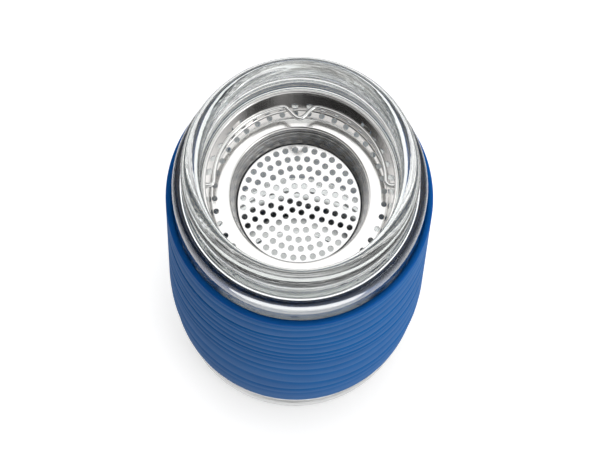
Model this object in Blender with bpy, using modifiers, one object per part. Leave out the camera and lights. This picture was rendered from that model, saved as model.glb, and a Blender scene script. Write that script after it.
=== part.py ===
"""Open double-wall glass travel mug with a silicone grip sleeve and a steel tea infuser.

Lengths are in metres and +Z is up. The origin is the middle of the foot on the table, and
-Y is the front of the mug. The infuser hangs in the neck, with its bail folded to the back.
"""

import math

import bmesh
import bpy
from mathutils import Matrix

MM = 0.001
FULL_TURN = 2.0 * math.pi

# Turned pieces
SIDES = 40
WELD = 0.01 * MM
FIT_GAP = 0.3 * MM
CUT_OVERRUN = 1.0 * MM

# Outer glass wall: heights count up from the table, drops count down from the top
HEIGHT = 152.9 * MM
BODY_R = 38.15 * MM
FOOT_DRAW_IN = 1.45 * MM
FOOT_ROUND = 3.0 * MM
FOOT_RING_WIDTH = 11.7 * MM
PUNT_RISE = 1.5 * MM
FLOOR_TOP_Z = 4.5 * MM
FLOOR_ROUND = 4.0 * MM
BODY_WALL = 1.8 * MM
FOOT_TAPER_LOW_Z = 14.0 * MM
FOOT_TAPER_HIGH_Z = 42.0 * MM
SHOULDER_DROP = 14.3 * MM
SHOULDER_RISE = 12.1 * MM
SHOULDER_DRAW_IN = 2.8 * MM
COLLAR_HEIGHT = 1.7 * MM
COLLAR_STEP = 1.15 * MM
VENT_R = 2.5 * MM
TAPER_STEPS = 3
SHOULDER_STEPS = 3
ROUND_STEPS = 2

FOOT_R = BODY_R - FOOT_DRAW_IN
COLLAR_R = BODY_R - SHOULDER_DRAW_IN
NECK_R = COLLAR_R - COLLAR_STEP
SHOULDER_HIGH_Z = HEIGHT - SHOULDER_DROP
SHOULDER_LOW_Z = SHOULDER_HIGH_Z - SHOULDER_RISE

# Glass thread on the neck
THREAD_RIDGE_R = 1.1 * MM
THREAD_PITCH = 3.0 * MM
THREAD_TURNS = 1.25
THREAD_START_ANGLE = math.radians(10.0)
THREAD_TOP_DROP = 1.85 * MM
THREAD_POINTS_PER_TURN = 20
THREAD_TIP_SHARE = 0.3

# Lip and inner glass wall
LIP_TUBE_R = 2.9 * MM
LIP_INSET = 1.8 * MM
LIP_STEPS = 7
LINER_WALL = 1.5 * MM
LINER_FLOOR_ROUND = 12.5 * MM
LINER_BELLY_DROP = 35.9 * MM
AIR_GAP_DROP = 10.7 * MM
NECK_AIR_GAP = 1.3 * MM
BODY_AIR_GAP = 3.45 * MM
FLOOR_AIR_GAP = 5.5 * MM
SEAT_DROP = 16.2 * MM
SEAT_LEDGE = 0.85 * MM
SEAT_ROUND = 0.2 * MM
SEAT_LENGTH = 8.2 * MM

LIP_RING_R = NECK_R - LIP_INSET
LIP_Z = HEIGHT - LIP_TUBE_R
LIP_SEAT_Z = LIP_Z - math.sqrt(LIP_TUBE_R ** 2 - (NECK_R - LIP_RING_R) ** 2)
NECK_TOP_Z = LIP_SEAT_Z - FIT_GAP
FUSED_R = LIP_RING_R - LIP_TUBE_R + LINER_WALL + FIT_GAP
LINER_NECK_R = NECK_R - BODY_WALL - NECK_AIR_GAP - LINER_WALL
LINER_R = BODY_R - BODY_WALL - BODY_AIR_GAP - LINER_WALL
LINER_FLOOR_Z = FLOOR_TOP_Z + FLOOR_AIR_GAP + LINER_WALL
LINER_BELLY_Z = HEIGHT - LINER_BELLY_DROP
AIR_GAP_TOP_Z = HEIGHT - AIR_GAP_DROP
SEAT_R = LINER_NECK_R - SEAT_LEDGE
SEAT_Z = HEIGHT - SEAT_DROP

# Vent plug
PLUG_FLANGE_R = 4.0 * MM
PLUG_FLANGE = 0.6 * MM
PLUG_TIP = 0.7 * MM

# Silicone sleeve
SLEEVE_LOW_Z = 19.5 * MM
SLEEVE_TOP_DROP = 2.5 * MM
SLEEVE_WALL = 1.55 * MM
SLEEVE_EDGE = 0.9 * MM
GROOVE_DEPTH = 0.4 * MM

SLEEVE_HIGH_Z = SHOULDER_LOW_Z - SLEEVE_TOP_DROP

# Pressed infuser basket
SHEET = 0.5 * MM
RIM_CLEARANCE = 0.45 * MM
RIM_HEIGHT = 1.1 * MM
RIM_ROUND = 0.35 * MM
WALL_CLEARANCE = 0.35 * MM
WALL_DRAFT = 1.3 * MM
BASKET_DEPTH = 11.8 * MM
DRAIN_INSET = 1.25 * MM
DRAIN_HOLE_R = 0.875 * MM
DRAIN_HOLES = 40
DRAIN_TURN = math.radians(2.6)
WELL_EDGE_INSET = 4.2 * MM
WELL_EDGE_ROUND = 1.8 * MM
WELL_DRAFT = 2.45 * MM
WELL_DEPTH = 10.7 * MM
WELL_LEDGE = 0.9 * MM
TAB_WIDTH = 4.1 * MM
TAB_HEIGHT = 4.2 * MM
TAB_SLOT = 0.5 * MM
TAB_RISE = 3.9 * MM
TAB_COUNT = 4
TAB_TURN = math.radians(43.3)

RIM_R = LINER_NECK_R - RIM_CLEARANCE
WALL_TOP_R = SEAT_R - WALL_CLEARANCE - SHEET
WALL_FOOT_R = WALL_TOP_R - WALL_DRAFT
WALL_TOP_Z = SEAT_Z + FIT_GAP
BASKET_SHOULDER_Z = SEAT_Z - BASKET_DEPTH
DRAIN_RING_R = WALL_FOOT_R - DRAIN_INSET
WELL_EDGE_R = DRAIN_RING_R - WELL_EDGE_INSET
WELL_FOOT_R = WELL_EDGE_R - WELL_DRAFT
WELL_LEDGE_Z = BASKET_SHOULDER_Z - WELL_DEPTH
TAB_FOOT_Z = BASKET_SHOULDER_Z + TAB_RISE

# Perforated disc
DISC_THICKNESS = 0.5 * MM
DISC_MARGIN = 1.4 * MM
DISC_HOLE_R = 0.875 * MM
DISC_RING_PITCH = 2.81 * MM
DISC_TURN = math.radians(44.0)
DRAIN_SIDES = 8
DISC_HOLE_SIDES = 6

DISC_RINGS = int((WELL_FOOT_R - DISC_MARGIN) / DISC_RING_PITCH)

# Wire bail
WIRE_R = 0.65 * MM
BAIL_SIDE_GAP = 1.1 * MM
BAIL_BOW_SHORTFALL = 0.1 * MM
BAIL_PIVOT_DROP = 1.2 * MM
BAIL_DROOP = math.radians(4.5)
BAIL_BEND_R = 1.6 * MM
BAIL_END_OUT = 0.28 * MM
NOTCH_DEPTH = 4.1 * MM
NOTCH_HALF_WIDTH = 5.3 * MM
BAIL_SIDE_STEPS = 12
BAIL_NOTCH_STEPS = 14
BAIL_BEND_STEPS = 4

BAIL_R = WALL_FOOT_R - BAIL_SIDE_GAP
BAIL_REACH = BAIL_R - BAIL_BOW_SHORTFALL
BAIL_PIVOT_Z = SEAT_Z - BAIL_PIVOT_DROP

# The wavy ribs: each band of the sleeve between two grooves takes a share of its height,
# and the share swings round the mug, so the grooves draw together and part again.
# A row is the mean share, how far it swings, how many times round, and its turn in degrees.
BAND_SHARES = [
    (0.022, 0.30, 1, 200.0),
    (0.052, 0.35, 1, 180.0),
    (0.066, 0.40, 1, 150.0),
    (0.068, 0.85, 1, -30.0),
    (0.058, 0.35, 2, 0.0),
    (0.048, 0.65, 1, 180.0),
    (0.072, 0.35, 1, -10.0),
    (0.046, 0.30, 2, 215.0),
    (0.050, 0.80, 1, -15.0),
    (0.062, 0.75, 1, 200.0),
    (0.062, 0.35, 2, 60.0),
    (0.056, 0.50, 1, 25.0),
    (0.086, 0.25, 1, 120.0),
    (0.074, 0.45, 2, 150.0),
    (0.088, 0.30, 1, 250.0),
    (0.090, 0.35, 1, 75.0),
]


def clear_scene():
    for item in list(bpy.data.objects):
        bpy.data.objects.remove(item, do_unlink=True)


def new_collection(name):
    collection = bpy.data.collections.new(name)
    bpy.context.scene.collection.children.link(collection)
    return collection


def new_material(name, colour, roughness, metallic=0.0, transmission=0.0):
    material = bpy.data.materials.new(name)
    material.use_nodes = True
    shader = material.node_tree.nodes["Principled BSDF"]
    shader.inputs["Base Color"].default_value = (*colour, 1.0)
    shader.inputs["Roughness"].default_value = roughness
    shader.inputs["Metallic"].default_value = metallic
    shader.inputs["Transmission Weight"].default_value = transmission
    return material


def add_object(name, mesh, collection, material=None):
    item = bpy.data.objects.new(name, mesh)
    collection.objects.link(item)
    if material:
        mesh.materials.append(material)
    return item


def mesh_from(name, build):
    """A mesh filled by a function that is given an empty bmesh."""
    shape = bmesh.new()
    build(shape)
    bmesh.ops.recalc_face_normals(shape, faces=shape.faces)
    mesh = bpy.data.meshes.new(name)
    shape.to_mesh(mesh)
    shape.free()
    return mesh


def smooth(mesh):
    mesh.shade_smooth()
    mesh.set_sharp_from_angle(angle=math.radians(35.0))


def turned(name, profile, material, closed=True):
    """A profile of (radius, height) points, turned about the mug's axis.

    The outer side runs from top to bottom. A profile that meets the axis is left open there.
    """
    points = [(radius, 0.0, height) for radius, height in profile]
    edges = [(i, i + 1) for i in range(len(points) - 1)]
    if closed:
        edges.append((len(points) - 1, 0))
    mesh = bpy.data.meshes.new(name)
    mesh.from_pydata(points, edges, [])
    item = add_object(name, mesh, PARTS, material)
    screw = item.modifiers.new("turn", "SCREW")
    screw.axis = "Z"
    screw.angle = FULL_TURN
    screw.steps = SIDES
    screw.render_steps = SIDES
    screw.use_merge_vertices = True
    screw.merge_threshold = WELD
    screw.use_smooth_shade = True
    return item


def cut(item, cutter, operation="DIFFERENCE"):
    """Cut one object with another, which stays as a wire guide that isn't rendered."""
    cutter.hide_render = True
    cutter.display_type = "WIRE"
    boolean = item.modifiers.new(cutter.name, "BOOLEAN")
    boolean.operation = operation
    boolean.solver = "EXACT"
    boolean.object = cutter


def cylinders(name, places, radius, length, sides, collection):
    """Upright closed cylinders at a list of (x, y, z) middles, as one object."""
    def build(shape):
        for place in places:
            bmesh.ops.create_cone(
                shape, cap_ends=True, segments=sides, radius1=radius, radius2=radius,
                depth=length, matrix=Matrix.Translation(place))
    return add_object(name, mesh_from(name, build), collection)


def mesh_of_curve(curve_object, collection):
    """The closed mesh of a curve object, which it replaces."""
    bpy.context.view_layer.update()
    name = curve_object.name
    evaluated = curve_object.evaluated_get(bpy.context.evaluated_depsgraph_get())
    mesh = bpy.data.meshes.new_from_object(evaluated)
    shape = bmesh.new()
    shape.from_mesh(mesh)
    bmesh.ops.remove_doubles(shape, verts=shape.verts, dist=WELD)
    bmesh.ops.recalc_face_normals(shape, faces=shape.faces)
    shape.to_mesh(mesh)
    shape.free()
    placement = curve_object.matrix_world.copy()
    bpy.data.objects.remove(curve_object, do_unlink=True)
    item = add_object(name, mesh, collection)
    item.matrix_world = placement
    return item


def wire_curve(name, points, radii, wire_r, collection, material=None):
    """A round wire along a list of points, with a radius factor for each."""
    curve = bpy.data.curves.new(name, "CURVE")
    curve.dimensions = "3D"
    curve.bevel_depth = wire_r
    curve.bevel_resolution = 2
    curve.use_fill_caps = True
    spline = curve.splines.new("POLY")
    spline.points.add(len(points) - 1)
    for target, point, factor in zip(spline.points, points, radii):
        target.co = (*point, 1.0)
        target.radius = factor
    item = bpy.data.objects.new(name, curve)
    collection.objects.link(item)
    if material:
        curve.materials.append(material)
    return item


def arc(centre_r, centre_z, radius, start, end, steps):
    """Points on an arc of a profile, with angles in degrees from +r towards +z."""
    points = []
    for i in range(steps + 1):
        angle = math.radians(start + (end - start) * i / steps)
        points.append((centre_r + radius * math.cos(angle), centre_z + radius * math.sin(angle)))
    return points


def ease(share):
    return 0.5 - 0.5 * math.cos(math.pi * share)


def body_radius(height):
    """Outer radius of the glass body: straight, then drawn in smoothly to the foot."""
    span = FOOT_TAPER_HIGH_Z - FOOT_TAPER_LOW_Z
    share = min(max((FOOT_TAPER_HIGH_Z - height) / span, 0.0), 1.0)
    return BODY_R - (BODY_R - FOOT_R) * ease(share)


def taper_heights(low, high, steps):
    return [high + (low - high) * i / steps for i in range(steps + 1)]


def shoulder_points(inset):
    """The glass shoulder from the collar down to the body, or its inside at a wall's inset."""
    points = []
    height = SHOULDER_HIGH_Z - SHOULDER_LOW_Z
    for i in range(SHOULDER_STEPS + 1):
        angle = 0.5 * math.pi * i / SHOULDER_STEPS
        radius = COLLAR_R - inset + (BODY_R - COLLAR_R) * math.sin(angle)
        points.append((radius, SHOULDER_LOW_Z + height * math.cos(angle)))
    return points


def make_outer_glass(material):
    foot_inner_r = FOOT_R - FOOT_ROUND - FOOT_RING_WIDTH
    outside = [(NECK_R, NECK_TOP_Z), (NECK_R, SHOULDER_HIGH_Z + COLLAR_HEIGHT)]
    outside.append((COLLAR_R, SHOULDER_HIGH_Z + COLLAR_HEIGHT / 2.0))
    outside += shoulder_points(0.0)
    outside += [(body_radius(z), z)
                for z in taper_heights(FOOT_TAPER_LOW_Z, FOOT_TAPER_HIGH_Z, TAPER_STEPS)]
    outside += arc(FOOT_R - FOOT_ROUND, FOOT_ROUND, FOOT_ROUND, 0.0, -90.0, ROUND_STEPS)
    outside.append((foot_inner_r, 0.0))
    outside.append((foot_inner_r - PUNT_RISE, PUNT_RISE))
    outside.append((VENT_R, PUNT_RISE))

    inner_foot_r = FOOT_R - BODY_WALL
    inside = [(VENT_R, FLOOR_TOP_Z)]
    inside += arc(inner_foot_r - FLOOR_ROUND, FLOOR_TOP_Z + FLOOR_ROUND, FLOOR_ROUND,
                  -90.0, 0.0, ROUND_STEPS)
    inside += [(body_radius(z) - BODY_WALL, z)
               for z in reversed(taper_heights(FOOT_TAPER_LOW_Z, FOOT_TAPER_HIGH_Z, TAPER_STEPS))]
    inside += reversed(shoulder_points(BODY_WALL))
    neck_inner_r = LINER_NECK_R + LINER_WALL + NECK_AIR_GAP
    inside.append((neck_inner_r, SHOULDER_HIGH_Z + COLLAR_HEIGHT))
    inside.append((neck_inner_r, AIR_GAP_TOP_Z))
    inside.append((FUSED_R, AIR_GAP_TOP_Z + FIT_GAP))
    inside.append((FUSED_R, NECK_TOP_Z))
    glass = turned("outer_glass_wall", outside + inside, material)
    cut(glass, make_thread(), "UNION")
    return glass


def make_thread():
    """The raised thread: a tapered-end ridge that winds once and a quarter round the neck."""
    count = int(THREAD_TURNS * THREAD_POINTS_PER_TURN)
    top = NECK_TOP_Z - THREAD_TOP_DROP
    points, radii = [], []
    for i in range(count + 1):
        share = i / count
        angle = THREAD_START_ANGLE - THREAD_TURNS * FULL_TURN * share
        height = top - THREAD_PITCH * THREAD_TURNS * share
        points.append((NECK_R * math.cos(angle), NECK_R * math.sin(angle), height))
        run_in = min(1.0, 3.0 * min(i, count - i) / THREAD_POINTS_PER_TURN + THREAD_TIP_SHARE)
        radii.append(run_in)
    ridge = wire_curve("neck_thread", points, radii, THREAD_RIDGE_R, CUTTERS)
    return mesh_of_curve(ridge, CUTTERS)


def liner_inside():
    """The inner wall's drinking side, from the middle of its floor up to the lip."""
    points = [(0.0, LINER_FLOOR_Z)]
    points += arc(LINER_R - LINER_FLOOR_ROUND, LINER_FLOOR_Z + LINER_FLOOR_ROUND,
                  LINER_FLOOR_ROUND, -90.0, 0.0, ROUND_STEPS + 1)
    points += [(LINER_R, LINER_BELLY_Z),
               (SEAT_R, SEAT_Z - SEAT_LENGTH),
               (SEAT_R, SEAT_Z - SEAT_ROUND),
               (SEAT_R + SEAT_ROUND, SEAT_Z),
               (LINER_NECK_R - SEAT_ROUND, SEAT_Z),
               (LINER_NECK_R, SEAT_Z + SEAT_ROUND),
               (LINER_NECK_R, AIR_GAP_TOP_Z)]
    return points


def liner_outside():
    """The inner wall's dry side, from under the lip down to the middle of its floor."""
    outer_floor_z = LINER_FLOOR_Z - LINER_WALL
    points = [(FUSED_R - FIT_GAP, LIP_SEAT_Z),
              (FUSED_R - FIT_GAP, AIR_GAP_TOP_Z),
              (LINER_NECK_R + LINER_WALL, AIR_GAP_TOP_Z - LINER_WALL / 2.0),
              (LINER_NECK_R + LINER_WALL, SEAT_Z),
              (SEAT_R + LINER_WALL, SEAT_Z - LINER_WALL),
              (SEAT_R + LINER_WALL, SEAT_Z - SEAT_LENGTH + LINER_WALL / 4.0),
              (LINER_R + LINER_WALL, LINER_BELLY_Z + LINER_WALL / 4.0)]
    points += arc(LINER_R - LINER_FLOOR_ROUND, LINER_FLOOR_Z + LINER_FLOOR_ROUND,
                  LINER_FLOOR_ROUND + LINER_WALL, 0.0, -90.0, ROUND_STEPS + 1)
    points.append((0.0, outer_floor_z))
    return points


def make_inner_glass(material):
    drop = LIP_Z - LIP_SEAT_Z
    outer_end = -math.degrees(math.asin(drop / LIP_TUBE_R))
    lip = arc(LIP_RING_R, LIP_Z, LIP_TUBE_R, 180.0, outer_end, LIP_STEPS)
    profile = liner_inside() + lip + liner_outside()
    return turned("inner_glass_wall", profile, material, closed=False)


def make_plug(material):
    top = PUNT_RISE - FIT_GAP
    stem_r = VENT_R - FIT_GAP
    profile = [(0.0, FLOOR_TOP_Z + PLUG_TIP),
               (stem_r - PLUG_TIP / 2.0, FLOOR_TOP_Z + PLUG_TIP),
               (stem_r, FLOOR_TOP_Z),
               (stem_r, top),
               (PLUG_FLANGE_R, top),
               (PLUG_FLANGE_R, top - PLUG_FLANGE),
               (0.0, top - PLUG_FLANGE)]
    return turned("vent_plug", profile, material, closed=False)


def groove_heights(angle):
    """Heights of the sleeve's grooves at an angle round the mug, from top to bottom."""
    front = angle + math.pi / 2.0
    widths = []
    for mean, swing, times, turn in BAND_SHARES:
        widths.append(mean * (1.0 + swing * math.sin(times * front + math.radians(turn))))
    top = SLEEVE_HIGH_Z - SLEEVE_EDGE
    span = top - (SLEEVE_LOW_Z + SLEEVE_EDGE)
    heights, used = [top], 0.0
    for width in widths:
        used += width
        heights.append(top - span * used / sum(widths))
    return heights


def sleeve_section(angle):
    """The sleeve's cut section at one angle: down the ribbed outside, then up the inside."""
    def outer(height):
        return body_radius(height) + FIT_GAP + SLEEVE_WALL
    section = [(outer(SLEEVE_HIGH_Z) - SLEEVE_EDGE, SLEEVE_HIGH_Z)]
    heights = groove_heights(angle)
    section.append((outer(heights[0]), heights[0]))
    for upper, lower in zip(heights, heights[1:]):
        middle = 0.5 * (upper + lower)
        section.append((outer(middle), middle))
        section.append((outer(lower) - GROOVE_DEPTH, lower))
    section[-1] = (outer(heights[-1]), heights[-1])
    section.append((outer(SLEEVE_LOW_Z) - SLEEVE_EDGE, SLEEVE_LOW_Z))
    inside = [SLEEVE_LOW_Z]
    inside += [z for z in reversed(taper_heights(FOOT_TAPER_LOW_Z, FOOT_TAPER_HIGH_Z, TAPER_STEPS))
               if z > SLEEVE_LOW_Z]
    inside.append(SLEEVE_HIGH_Z)
    section += [(body_radius(z) + FIT_GAP, z) for z in inside]
    return section


def make_sleeve(material):
    """Sections round the mug joined by faces, because the wavy ribs can't be turned."""
    def build(shape):
        rings = []
        for i in range(SIDES):
            angle = FULL_TURN * i / SIDES
            rings.append([shape.verts.new((r * math.cos(angle), r * math.sin(angle), z))
                          for r, z in sleeve_section(angle)])
        for here, there in zip(rings, rings[1:] + rings[:1]):
            for i in range(len(here)):
                j = (i + 1) % len(here)
                shape.faces.new((here[i], here[j], there[j], there[i]))
    mesh = mesh_from("silicone_sleeve", build)
    smooth(mesh)
    return add_object("silicone_sleeve", mesh, PARTS, material)


def sheet_underside(points):
    """The other face of a pressed sheet: its profile moved by the sheet's thickness."""
    moved = []
    for i, (radius, height) in enumerate(points):
        before = points[max(i - 1, 0)]
        after = points[min(i + 1, len(points) - 1)]
        run, rise = after[0] - before[0], after[1] - before[1]
        length = math.hypot(run, rise)
        moved.append((radius + SHEET * rise / length, height - SHEET * run / length))
    return moved


def basket_wall_radius(height):
    share = (height - BASKET_SHOULDER_Z) / (WALL_TOP_Z - BASKET_SHOULDER_Z)
    return WALL_FOOT_R + (WALL_TOP_R - WALL_FOOT_R) * share


def basket_inside():
    """The basket's upper face, from its foot ledge up the well, over and out to the rim."""
    corner = 2.0 * SHEET
    points = [(WELL_FOOT_R - WELL_LEDGE, WELL_LEDGE_Z), (WELL_FOOT_R, WELL_LEDGE_Z)]
    bend_low = (WELL_EDGE_R - WELL_DRAFT * WELL_EDGE_ROUND / WELL_DEPTH,
                BASKET_SHOULDER_Z - WELL_EDGE_ROUND)
    bend_high = (WELL_EDGE_R + WELL_EDGE_ROUND, BASKET_SHOULDER_Z)
    bend_middle = ((bend_low[0] + 2.0 * WELL_EDGE_R + bend_high[0]) / 4.0,
                   (bend_low[1] + 3.0 * BASKET_SHOULDER_Z) / 4.0)
    points += [bend_low, bend_middle, bend_high]
    points.append((WALL_FOOT_R - SHEET / 3.0, BASKET_SHOULDER_Z))
    wall_start = BASKET_SHOULDER_Z + corner
    points.append((basket_wall_radius(wall_start), wall_start))
    points.append((WALL_TOP_R, WALL_TOP_Z))
    return points


def make_basket(material):
    inside = basket_inside()
    underside = sheet_underside(inside)
    ledge = [(WELL_FOOT_R - WELL_LEDGE, WELL_LEDGE_Z - SHEET),
             (WELL_FOOT_R + SHEET, WELL_LEDGE_Z - SHEET)]
    under_rim = [(WALL_TOP_R + SHEET, WALL_TOP_Z)]
    rim_top = WALL_TOP_Z + RIM_HEIGHT
    rim = [(WALL_TOP_R, rim_top - RIM_ROUND), (WALL_TOP_R + RIM_ROUND, rim_top),
           (RIM_R - RIM_ROUND, rim_top), (RIM_R, rim_top - RIM_ROUND), (RIM_R, WALL_TOP_Z)]
    outside = under_rim + list(reversed(underside[2:-1])) + list(reversed(ledge))
    basket = turned("infuser_basket", rim + outside + inside, material)

    shoulder_middle = BASKET_SHOULDER_Z - SHEET / 2.0
    places = []
    for i in range(DRAIN_HOLES):
        angle = DRAIN_TURN + FULL_TURN * i / DRAIN_HOLES
        places.append((DRAIN_RING_R * math.cos(angle), DRAIN_RING_R * math.sin(angle),
                       shoulder_middle))
    drains = cylinders("drain_holes", places, DRAIN_HOLE_R, SHEET + 2.0 * CUT_OVERRUN,
                       DRAIN_SIDES, CUTTERS)
    cut(basket, drains)
    cut(basket, make_tab_slots())
    pivots = cylinders("bail_holes", [(0.0, 0.0, 0.0)], WIRE_R + FIT_GAP,
                       2.0 * (RIM_R + CUT_OVERRUN), 2 * DRAIN_SIDES, CUTTERS)
    pivots.rotation_euler = (0.0, math.pi / 2.0, 0.0)
    pivots.location = (0.0, 0.0, BAIL_PIVOT_Z)
    cut(basket, pivots)
    return basket


def make_tab_slots():
    """Cutters for the slots that free three sides of each lanced tab in the basket's wall."""
    half, slot = TAB_WIDTH / 2.0, TAB_SLOT
    outline = [(-half, 0.0), (-half, TAB_HEIGHT), (half, TAB_HEIGHT), (half, 0.0),
               (half - slot, 0.0), (half - slot, TAB_HEIGHT - slot),
               (slot - half, TAB_HEIGHT - slot), (slot - half, 0.0)]
    curve = bpy.data.curves.new("tab_slots", "CURVE")
    curve.dimensions = "2D"
    curve.fill_mode = "BOTH"
    curve.extrude = SHEET + CUT_OVERRUN
    spline = curve.splines.new("POLY")
    spline.points.add(len(outline) - 1)
    spline.use_cyclic_u = True
    for target, (x, y) in zip(spline.points, outline):
        target.co = (x, y, 0.0, 1.0)
    flat = bpy.data.objects.new("tab_slots", curve)
    CUTTERS.objects.link(flat)
    slots = mesh_of_curve(flat, CUTTERS)

    middle_r = basket_wall_radius(TAB_FOOT_Z + TAB_HEIGHT / 2.0) + SHEET / 2.0
    upright = Matrix.Rotation(math.pi / 2.0, 4, "X")
    one = bmesh.new()
    one.from_mesh(slots.data)
    four = bmesh.new()
    for i in range(TAB_COUNT):
        angle = TAB_TURN + FULL_TURN * i / TAB_COUNT
        copy = one.copy()
        place = (Matrix.Rotation(angle + math.pi / 2.0, 4, "Z")
                 @ Matrix.Translation((0.0, -middle_r, TAB_FOOT_Z)) @ upright)
        bmesh.ops.transform(copy, matrix=place, verts=copy.verts)
        part = bpy.data.meshes.new("tab_slot")
        copy.to_mesh(part)
        four.from_mesh(part)
        bpy.data.meshes.remove(part)
        copy.free()
    four.to_mesh(slots.data)
    one.free()
    four.free()
    return slots


def disc_hole_places(height):
    places = [(0.0, 0.0, height)]
    for ring in range(1, DISC_RINGS + 1):
        count = 6 * ring
        for i in range(count):
            angle = DISC_TURN + FULL_TURN * i / count
            radius = ring * DISC_RING_PITCH
            places.append((radius * math.cos(angle), radius * math.sin(angle), height))
    return places


def make_disc(material):
    middle = WELL_LEDGE_Z + FIT_GAP + DISC_THICKNESS / 2.0
    radius = WELL_FOOT_R - FIT_GAP
    disc = cylinders("strainer_disc", [(0.0, 0.0, middle)], radius, DISC_THICKNESS, SIDES, PARTS)
    disc.data.materials.append(material)
    holes = cylinders("disc_holes", disc_hole_places(middle), DISC_HOLE_R,
                      DISC_THICKNESS + 2.0 * CUT_OVERRUN, DISC_HOLE_SIDES, CUTTERS)
    cut(disc, holes)
    return disc


def bail_points():
    """The wire's middle line in the bail's own frame, with its pivot axis along X."""
    wall_outer_r = basket_wall_radius(BAIL_PIVOT_Z) + SHEET
    tip_x = wall_outer_r + BAIL_END_OUT
    notch_angle = math.asin(NOTCH_HALF_WIDTH / BAIL_R)
    reach = BAIL_REACH - BAIL_BEND_R
    half = []
    for i in range(BAIL_NOTCH_STEPS // 2 + 1):
        angle = notch_angle * 2.0 * i / BAIL_NOTCH_STEPS
        dip = NOTCH_DEPTH * ease(1.0 - angle / notch_angle)
        half.append((BAIL_R * math.sin(angle), BAIL_BEND_R + reach * math.cos(angle) - dip))
    for i in range(1, BAIL_SIDE_STEPS + 1):
        angle = notch_angle + (math.pi / 2.0 - notch_angle) * i / BAIL_SIDE_STEPS
        half.append((BAIL_R * math.sin(angle), BAIL_BEND_R + reach * math.cos(angle)))
    for i in range(1, BAIL_BEND_STEPS + 1):
        angle = math.pi + 0.5 * math.pi * i / BAIL_BEND_STEPS
        half.append((BAIL_R + BAIL_BEND_R + BAIL_BEND_R * math.cos(angle),
                     BAIL_BEND_R + BAIL_BEND_R * math.sin(angle)))
    half.append((tip_x, 0.0))
    left = [(-x, y, 0.0) for x, y in reversed(half)]
    return left + [(x, y, 0.0) for x, y in half[1:]]


def make_bail(material):
    points = bail_points()
    bail = wire_curve("bail_handle", points, [1.0] * len(points), WIRE_R, PARTS, material)
    bail.location = (0.0, 0.0, BAIL_PIVOT_Z)
    bail.rotation_euler = (-BAIL_DROOP, 0.0, 0.0)
    return bail


clear_scene()
PARTS = new_collection("tea_infuser_travel_mug")
CUTTERS = new_collection("cutters")
GLASS = new_material("clear_glass", (0.93, 0.97, 0.96), 0.02, transmission=1.0)
SILICONE = new_material("blue_silicone", (0.07, 0.20, 0.50), 0.60)
PLUG_SILICONE = new_material("clear_silicone", (0.80, 0.82, 0.82), 0.50)
STEEL = new_material("polished_steel", (0.72, 0.71, 0.69), 0.12, metallic=1.0)

make_outer_glass(GLASS)
make_inner_glass(GLASS)
make_plug(PLUG_SILICONE)
make_sleeve(SILICONE)
basket = make_basket(STEEL)
disc = make_disc(STEEL)
bail = make_bail(STEEL)

infuser = bpy.data.objects.new("infuser_lift_axis", None)
PARTS.objects.link(infuser)
for piece in (basket, disc, bail):
    piece.parent = infuser
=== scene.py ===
"""Looks of an open double-wall glass travel mug with a silicone sleeve and a steel tea infuser.

The pieces are made in the order in which the mug goes together: the fused glass, its vent
plug, the sleeve, then the pressed basket, its perforated disc and the wire bail. The table,
the room, the lamp and the camera come last. Lengths are in metres, tables of cut lines are
in millimetres, and -Y is the front.
"""

import math

import bmesh
import bpy
import numpy as np
from mathutils import Matrix, Vector


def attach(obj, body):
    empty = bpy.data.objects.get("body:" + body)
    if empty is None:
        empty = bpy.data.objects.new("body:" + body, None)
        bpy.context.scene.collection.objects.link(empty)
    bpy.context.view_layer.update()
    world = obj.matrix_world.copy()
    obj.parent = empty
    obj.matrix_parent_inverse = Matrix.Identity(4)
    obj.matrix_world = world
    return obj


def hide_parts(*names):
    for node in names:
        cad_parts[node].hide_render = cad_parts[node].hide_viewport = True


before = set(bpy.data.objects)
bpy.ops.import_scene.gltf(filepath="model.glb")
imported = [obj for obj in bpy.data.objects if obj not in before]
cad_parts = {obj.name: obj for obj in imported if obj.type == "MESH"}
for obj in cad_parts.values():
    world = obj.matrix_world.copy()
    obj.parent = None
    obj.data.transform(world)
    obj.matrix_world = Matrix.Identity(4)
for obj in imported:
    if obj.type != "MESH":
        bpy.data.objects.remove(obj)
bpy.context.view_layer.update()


# Double-wall glass: an outer wall and an inner liner of blown borosilicate glass, fused
# into one piece at the thick rolled lip, with a raised thread round the neck and still
# air between the walls. A small hole in the base, closed by a plug, leads into that air.
MM = 0.001
FULL_TURN = 2.0 * math.pi
GLASS_SEGMENTS = 288
BODY_R = 38.15 * MM
FOOT_R = 36.7 * MM
BODY_WALL = 1.8 * MM
BODY_STEPS = 12
FOOT_TAPER_LOW_Z = 14.0 * MM
FOOT_TAPER_HIGH_Z = 42.0 * MM
FOOT_TAPER_STEPS = 24
SHOULDER_LOW_Z = 126.5 * MM
SHOULDER_RISE = 12.1 * MM
SHOULDER_INSIDE_RISE = 11.85 * MM
SHOULDER_DRAW_IN = 2.8 * MM
SHOULDER_FULLNESS = 0.48
SHOULDER_TOP_DEGREES = 10.0
SHOULDER_INSIDE_TOP_DEGREES = 20.0
SHOULDER_FOOT_DEGREES = 90.0
SHOULDER_STEPS = 40
LIP_RING_R = 32.4 * MM
LIP_TUBE_R = 2.9 * MM
LIP_Z = 149.95 * MM
LIP_FIRST_DEGREES = 188.0
LIP_LAST_DEGREES = -38.0
LIP_STEPS = 56
AIR_TOP_R = 31.75 * MM
AIR_TOP_Z = 141.55 * MM
AIR_TOP_ROUND = 0.65 * MM
AIR_TOP_STEPS = 14
NECK_R = 34.2 * MM
NECK_TOLERANCE = 0.02 * MM
NECK_LONGEST_STEP = 0.2 * MM
BEND_STEP = math.radians(7.0)
AXIS_TOLERANCE = 1e-9
THREAD_TOP_Z = 145.58 * MM
THREAD_PITCH = 3.0 * MM
THREAD_TURNS = 1.25
THREAD_START_ANGLE = math.radians(10.0)
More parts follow.
